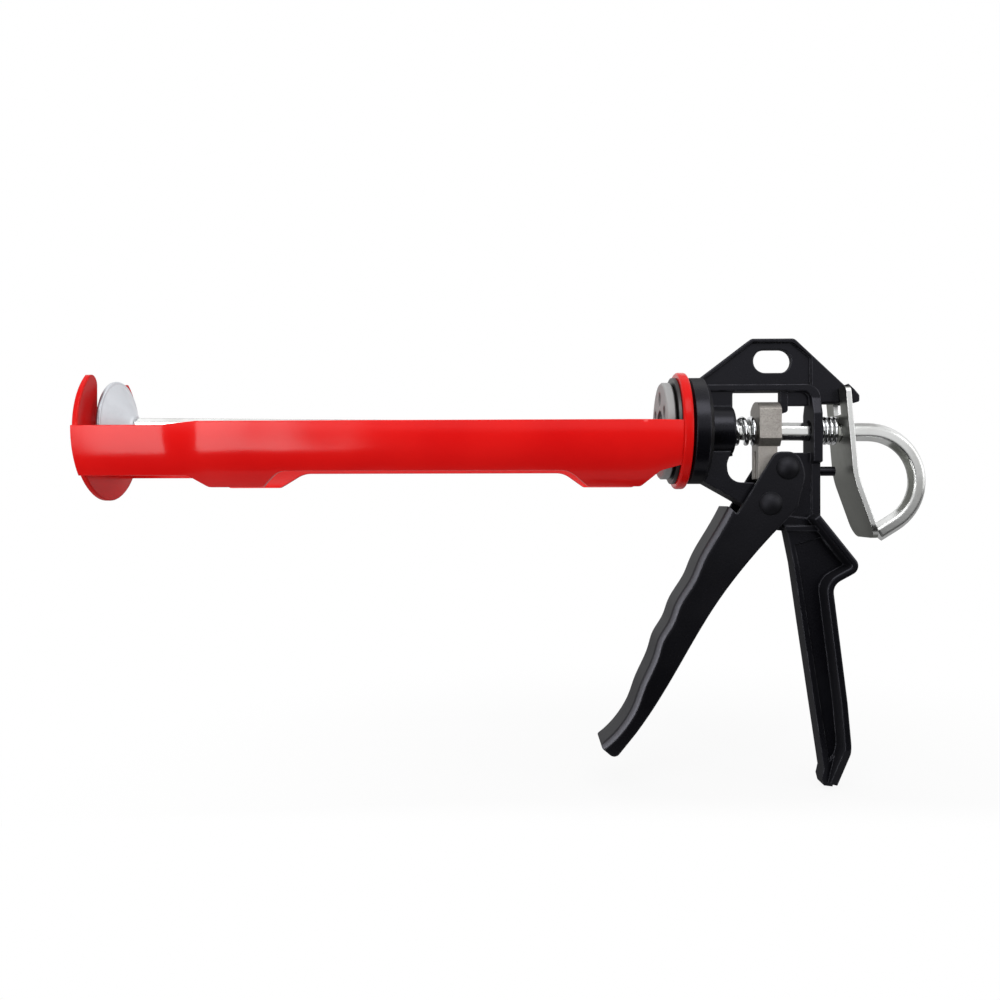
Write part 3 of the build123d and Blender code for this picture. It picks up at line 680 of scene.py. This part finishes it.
def plain_mesh(name: str, source: bpy.types.Object) -> bpy.types.Object:
    """Turns an object with live nodes into a plain mesh object.

    Args:
        name: The new object's name.
        source: The object with its modifier, which is removed.

    Returns:
        The plain object at the origin.
    """
    graph = bpy.context.evaluated_depsgraph_get()
    mesh = bpy.data.meshes.new_from_object(source.evaluated_get(graph))
    mesh.name = name
    bpy.data.objects.remove(source)
    piece = bpy.data.objects.new(name, mesh)
    bpy.context.scene.collection.objects.link(piece)
    return piece


@dataclass(frozen=True)
class CoilSizes:
    """Sizes of a compression spring along the rod: lengths in metres, windings in turns, phase in radians."""

    start: float
    end: float
    coil_radius: float
    wire_radius: float
    turns: float
    closed: float
    phase: float


@dataclass(frozen=True)
class Spring:
    """A wound spring, the solid that it stands for, the joint that presses it in the gun, and the share of its
    length that it keeps when pressed.
    """

    name: str
    node: str
    joint: Joint
    keep: float
    sizes: CoilSizes


class CoilTree:
    """Geometry nodes that wind a spring with closed ends along +X."""

    INPUTS = ("Start", "End", "Coil Radius", "Wire Radius", "Turns", "Closed", "Phase")
    STEPS = 420
    SIDES = 20
    # Rise of a closed turn, in radii of the wire.
    CLOSED_PITCH = 1.3

    def __init__(self, material: bpy.types.Material) -> None:
        """Builds the tree.

        Args:
            material: The wire's material.
        """
        self.tree = bpy.data.node_groups.new("wound_wire", "GeometryNodeTree")
        face = self.tree.interface
        face.new_socket("Geometry", in_out="INPUT", socket_type="NodeSocketGeometry")
        self.sockets = [
            face.new_socket(name, in_out="INPUT", socket_type="NodeSocketFloat").identifier
            for name in self.INPUTS
        ]
        face.new_socket("Geometry", in_out="OUTPUT", socket_type="NodeSocketGeometry")
        self._wire(material)

    def _wire(self, material: bpy.types.Material) -> None:
        """Links the tree: a line becomes a coil, and a round section is swept along it.

        Args:
            material: The wire's material.
        """
        g = Graph(self.tree)
        start, end, coil, wire, turns, closed, phase = self._given(g)
        line = g.node("GeometryNodeCurvePrimitiveLine")
        points = g.node("GeometryNodeResampleCurve", {"mode": "COUNT"}, {"Curve": line, "Count": self.STEPS})
        share = g.node("GeometryNodeSplineParameter", output="Factor")
        lead = closed / turns
        open_share = ((share - lead) / (1.0 - 2.0 * lead)).most(0.0).least(1.0)
        closed_rise = (share / lead).least(1.0) + ((share - 1.0 + lead) / lead).most(0.0)
        dead = closed * wire * self.CLOSED_PITCH
        free = end - start - 2.0 * wire
        along = start + wire + closed_rise * dead + open_share * (free - 2.0 * dead)
        turn = share * turns * math.tau + phase
        across = coil * g.node("ShaderNodeMath", {"operation": "COSINE"}, {0: turn})
        up = coil * g.node("ShaderNodeMath", {"operation": "SINE"}, {0: turn})
        spot = g.node("ShaderNodeCombineXYZ", sockets={"X": along, "Y": across, "Z": up})
        helix = g.node("GeometryNodeSetPosition", sockets={"Geometry": points, "Position": spot})
        section = {"Resolution": self.SIDES, "Radius": wire}
        ring = g.node("GeometryNodeCurvePrimitiveCircle", {"mode": "RADIUS"}, section)
        sweep = {"Curve": helix, "Profile Curve": ring, "Fill Caps": True}
        swept = g.node("GeometryNodeCurveToMesh", sockets=sweep)
        smooth = g.node("GeometryNodeSetShadeSmooth", sockets={"Geometry": swept})
        whole = g.node("GeometryNodeRealizeInstances", sockets={"Geometry": smooth})
        dressed = g.node("GeometryNodeSetMaterial", sockets={"Geometry": whole, "Material": material})
        g.node("NodeGroupOutput", sockets={"Geometry": dressed})

    def _given(self, graph: Graph) -> list[Signal]:
        """Adds the node that hands in the spring's sizes, in the order of INPUTS."""
        given = graph.node("NodeGroupInput")
        return [given.out(name) for name in self.INPUTS]

    def wind(self, name: str, sizes: CoilSizes) -> bpy.types.Object:
        """Winds one spring.

        Args:
            name: The piece's name.
            sizes: The spring's sizes.

        Returns:
            A plain mesh object.
        """
        carrier = bpy.data.objects.new(name + "_carrier", bpy.data.meshes.new(name + "_carrier"))
        bpy.context.scene.collection.objects.link(carrier)
        modifier = carrier.modifiers.new("wind", "NODES")
        modifier.node_group = self.tree
        for socket, value in zip(self.sockets, astuple(sizes)):
            modifier[socket] = value
        return plain_mesh(name, carrier)


@dataclass
class SubAssembly(ABC):
    """A group of pieces that is dressed together."""

    nodes: dict[str, bpy.types.Object] = field(repr=False)

    def pieces(self, *names: str) -> list[bpy.types.Object]:
        """Finds the solids' objects.

        Args:
            *names: Names of nodes.

        Returns:
            Their objects.
        """
        found = [self.nodes[name] for name in names]
        for piece in found:
            LOG.info("dressed %s", piece.name)
        return found

    @abstractmethod
    def dress(self) -> None:
        """Puts the finishes on the pieces."""


@dataclass
class Cradle(SubAssembly):
    """The turning red cradle: rails, front plate and ring."""

    def dress(self) -> None:
        """Enamels the cradle."""
        RED.dress(*self.pieces("left_rail", "right_rail"))
        # The plate and ring take the darker enamel as painted shade.
        RED_PAINTED_SHADE.dress(*self.pieces("front_plate", "rear_ring"))


@dataclass
class Bearing(SubAssembly):
    """The nut, washers and guide that hold the cradle on the body's nose."""

    def dress(self) -> None:
        """Dresses the nut, washers and guide."""
        GREY_CAST.dress(*self.pieces("cradle_nut"))
        # The front washer takes the darkened zinc as painted shade.
        ZINC_PAINTED_SHADE.dress(*self.pieces("front_thrust_washer"))
        NYLON.dress(*self.pieces("rear_thrust_washer", "rod_guide"))


@dataclass
class PushRod(SubAssembly):
    """The hooked rod with its pusher."""

    def dress(self) -> None:
        """Plates the rod and the pusher."""
        ZINC_BAR.dress(*self.pieces("push_rod"))
        ZINC.dress(*self.pieces("pusher_disc", "pusher_washer", "pusher_nut"))


@dataclass
class Handle(SubAssembly):
    """The cast body and fixed handle, with the pivot's bush."""

    def dress(self) -> None:
        """Coats the casting and dresses the bush."""
        BLACK_CAST.dress(*self.pieces("handle_body"))
        BRONZE.dress(*self.pieces("pivot_bush"))


@dataclass
class Trigger(SubAssembly):
    """The pressed trigger and its rivets."""

    def dress(self) -> None:
        """Coats the trigger and rivets."""
        BLACK_STEEL.dress(*self.pieces("trigger"))
        BLACK_RIVET.dress(*self.pieces("pivot_rivet", "drive_rivet"))


@dataclass
class Drive(SubAssembly):
    """The grip that bites the rod, the release plate and their two wound springs."""

    springs: tuple[Spring, ...] = (
        Spring(
            "drive_coil", "drive_spring", Joint.DRIVE_SLIDE, keep=0.5,
            sizes=CoilSizes(
                start=251.0 * MM, end=264.6 * MM, coil_radius=5.0 * MM, wire_radius=1.0 * MM,
                turns=3.6, closed=0.45, phase=0.9)),
        Spring(
            "release_coil", "release_spring", Joint.RELEASE_TILT, keep=0.8,
            sizes=CoilSizes(
                start=289.8 * MM, end=297.65 * MM, coil_radius=5.05 * MM, wire_radius=0.7 * MM,
                turns=4.0, closed=0.5, phase=2.0)),
    )

    def build(self) -> None:
        """Winds the springs and hangs them on the frame's body."""
        WIRE.dress(*self.pieces(*(spring.node for spring in self.springs)))
        tree = CoilTree(bpy.data.materials[WIRE.name])
        for spring in self.springs:
            self._wind(tree, spring)

    def _wind(self, tree: CoilTree, spring: Spring) -> None:
        """Winds one spring in place of its solid.

        Args:
            tree: The winding tree.
            spring: The spring.
        """
        piece = tree.wind(spring.name, spring.sizes)
        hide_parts(spring.node)
        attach(piece, SPRING_BODY)
        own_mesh(piece)
        LOG.info("wound %s for %s", spring.name, spring.node)

    def dress(self) -> None:
        """Dresses the grip and the release plate."""
        SINTER.dress(*self.pieces("drive_grip"))
        ZINC_DULL.dress(*self.pieces("release_plate"))


@dataclass(frozen=True)
class Lamp:
    """A soft box: where it hangs, what it is aimed at, its sides in metres and its power in watts."""

    name: str
    place: Vec3
    aim: Vec3
    width: float
    height: float
    power: float


@dataclass(frozen=True)
class Surround:
    """The world: white to look at; in mirrors a pale cloth behind the object, and a dim room and ceiling."""

    behind: Band = (-0.10, 0.25)
    room: Rise = Rise((-0.09, 0.11), 0.015, 0.91)
    cloth: Rise = Rise((-0.15, 0.12), 0.35, 0.55)
    fill: Rise = Rise((-0.4, 0.9), 0.14, 0.40)
    ceiling_band: Band = (0.5, 0.9)
    ceiling_dim: float = 0.8

    def build(self) -> None:
        """Sets the scene's world."""
        world = bpy.data.worlds.new("white_surround")
        world.use_nodes = True
        bpy.context.scene.world = world
        world.node_tree.nodes.clear()
        g = Graph(world.node_tree)
        way = g.node("ShaderNodeTexCoord", output="Generated")
        depth = g.node("ShaderNodeSeparateXYZ", sockets={0: way}, output="Y")
        height = depth.out("Z")
        behind = depth.ramp(self.behind)
        ceiling = 1.0 - height.ramp(self.ceiling_band) * self.ceiling_dim
        mirrored = (behind * self.cloth.at(height) + (1.0 - behind) * self.room.at(height)) * ceiling
        seen, mirror = g.rays()
        unseen = mirror * mirrored + (1.0 - mirror) * self.fill.at(height)
        strength = seen + (1.0 - seen) * unseen
        light = g.node("ShaderNodeBackground", sockets={"Color": opaque(WHITE), "Strength": strength})
        g.node("ShaderNodeOutputWorld", sockets={"Surface": light})


@dataclass(frozen=True)
class Floor:
    """The pale floor just under the handle's tip: white away from the object, and grey in mirrors."""

    level: float = -0.1442
    front: float = -0.06
    back: float = 4.0
    side: float = 4.0
    matte: Rgb = (0.6, 0.6, 0.6)
    mirrored: Rgb = (0.35, 0.35, 0.35)
    shadow_x: float = 0.25
    shadow_band: Band = (0.03, 0.30)
    front_band: Band = (-0.01, -0.048)
    white_base: float = 0.90
    white_climb: float = 0.10

    def build(self) -> None:
        """Lays the floor."""
        corners = [
            (-self.side, self.front), (self.side, self.front), (self.side, self.back), (-self.side, self.back)]
        mesh = bpy.data.meshes.new("floor")
        mesh.from_pydata([(x, y, self.level) for x, y in corners], [], [(0, 1, 2, 3)])
        mesh.materials.append(self._material())
        floor = bpy.data.objects.new("floor", mesh)
        bpy.context.scene.collection.objects.link(floor)

    def _material(self) -> bpy.types.Material:
        """Builds the floor's material.

        Returns:
            A matte grey that keeps the shadow, under a white that grows away from the object.
        """
        s = Surface("pale_floor")
        spot = {0: s.place, 1: (self.shadow_x, 0.0, self.level)}
        away = s.node("ShaderNodeVectorMath", {"operation": "DISTANCE"}, spot, "Value").ramp(self.shadow_band)
        ahead = s.node("ShaderNodeSeparateXYZ", sockets={0: s.place}, output="Y").ramp(self.front_band)
        seen, mirror = s.rays()
        white_share = seen.most(mirror) * (away.most(ahead) * self.white_climb + self.white_base)
        matte = s.node("ShaderNodeBsdfDiffuse", sockets={"Color": opaque(self.matte)})
        glow = s.blend(seen, self.mirrored, WHITE)
        white = s.node("ShaderNodeEmission", sockets={"Color": glow, "Strength": 1.0})
        mixed = s.node("ShaderNodeMixShader", sockets={0: white_share, 1: matte, 2: white})
        s.node("ShaderNodeOutputMaterial", sockets={"Surface": mixed})
        return s.material


@dataclass
class Studio:
    """Floor, soft boxes, white surround and camera."""

    surround: Surround = Surround()
    floor: Floor = Floor()
    lens: float = 31.86
    sensor: float = 36.0
    stand: Vec3 = (0.1694, -0.362, -0.02785)
    turn_degrees: Vec3 = (90.0, 0.1, 1.35)
    lamps: tuple[Lamp, ...] = (
        Lamp("left_box", (-0.19, -0.60, -0.10), (0.04, 0.0, -0.01), width=0.23, height=0.60, power=2.2),
        Lamp("key_box", (0.15, -0.70, 0.75), (0.16, 0.0, -0.02), width=1.0, height=0.5, power=6.3),
        Lamp("top_box", (0.2, 0.1, 0.9), (0.17, 0.0, 0.0), width=1.7, height=1.1, power=4.4),
        Lamp("right_box", (0.95, -0.35, 0.2), (0.26, 0.0, -0.04), width=0.4, height=0.6, power=1.5),
    )

    def build(self) -> None:
        """Sets up the whole studio."""
        bpy.context.scene.view_settings.view_transform = "Standard"
        self.surround.build()
        self.floor.build()
        for lamp in self.lamps:
            self._hang(lamp)
        self._stand_camera()

    def _hang(self, lamp: Lamp) -> None:
        """Hangs one soft box.

        Args:
            lamp: The soft box.
        """
        data = bpy.data.lights.new(lamp.name, "AREA")
        data.shape = "RECTANGLE"
        data.size = lamp.width
        data.size_y = lamp.height
        data.energy = lamp.power
        box = bpy.data.objects.new(lamp.name, data)
        bpy.context.scene.collection.objects.link(box)
        box.location = lamp.place
        aim = [a - p for a, p in zip(lamp.aim, lamp.place)]
        flat = math.hypot(aim[0], aim[1])
        box.rotation_euler = (math.atan2(flat, -aim[2]), 0.0, math.atan2(aim[1], aim[0]) - math.pi / 2)

    def _stand_camera(self) -> None:
        """Stands the camera where the photograph was taken from."""
        data = bpy.data.cameras.new("camera")
        data.sensor_width = self.sensor
        data.lens = self.lens
        camera = bpy.data.objects.new("camera", data)
        bpy.context.scene.collection.objects.link(camera)
        camera.location = self.stand
        camera.rotation_euler = tuple(math.radians(angle) for angle in self.turn_degrees)
        bpy.context.scene.camera = camera


def main() -> None:
    """Builds the studio, then each sub-assembly in order."""
    logging.basicConfig(level=logging.INFO)
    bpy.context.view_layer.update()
    Studio().build()
    nodes = frame["nodes"]
    drive = Drive(nodes)
    drive.build()
    for group in (Cradle(nodes), Bearing(nodes), PushRod(nodes), Handle(nodes), Trigger(nodes), drive):
        group.dress()


if __name__ == "__main__":
    main()
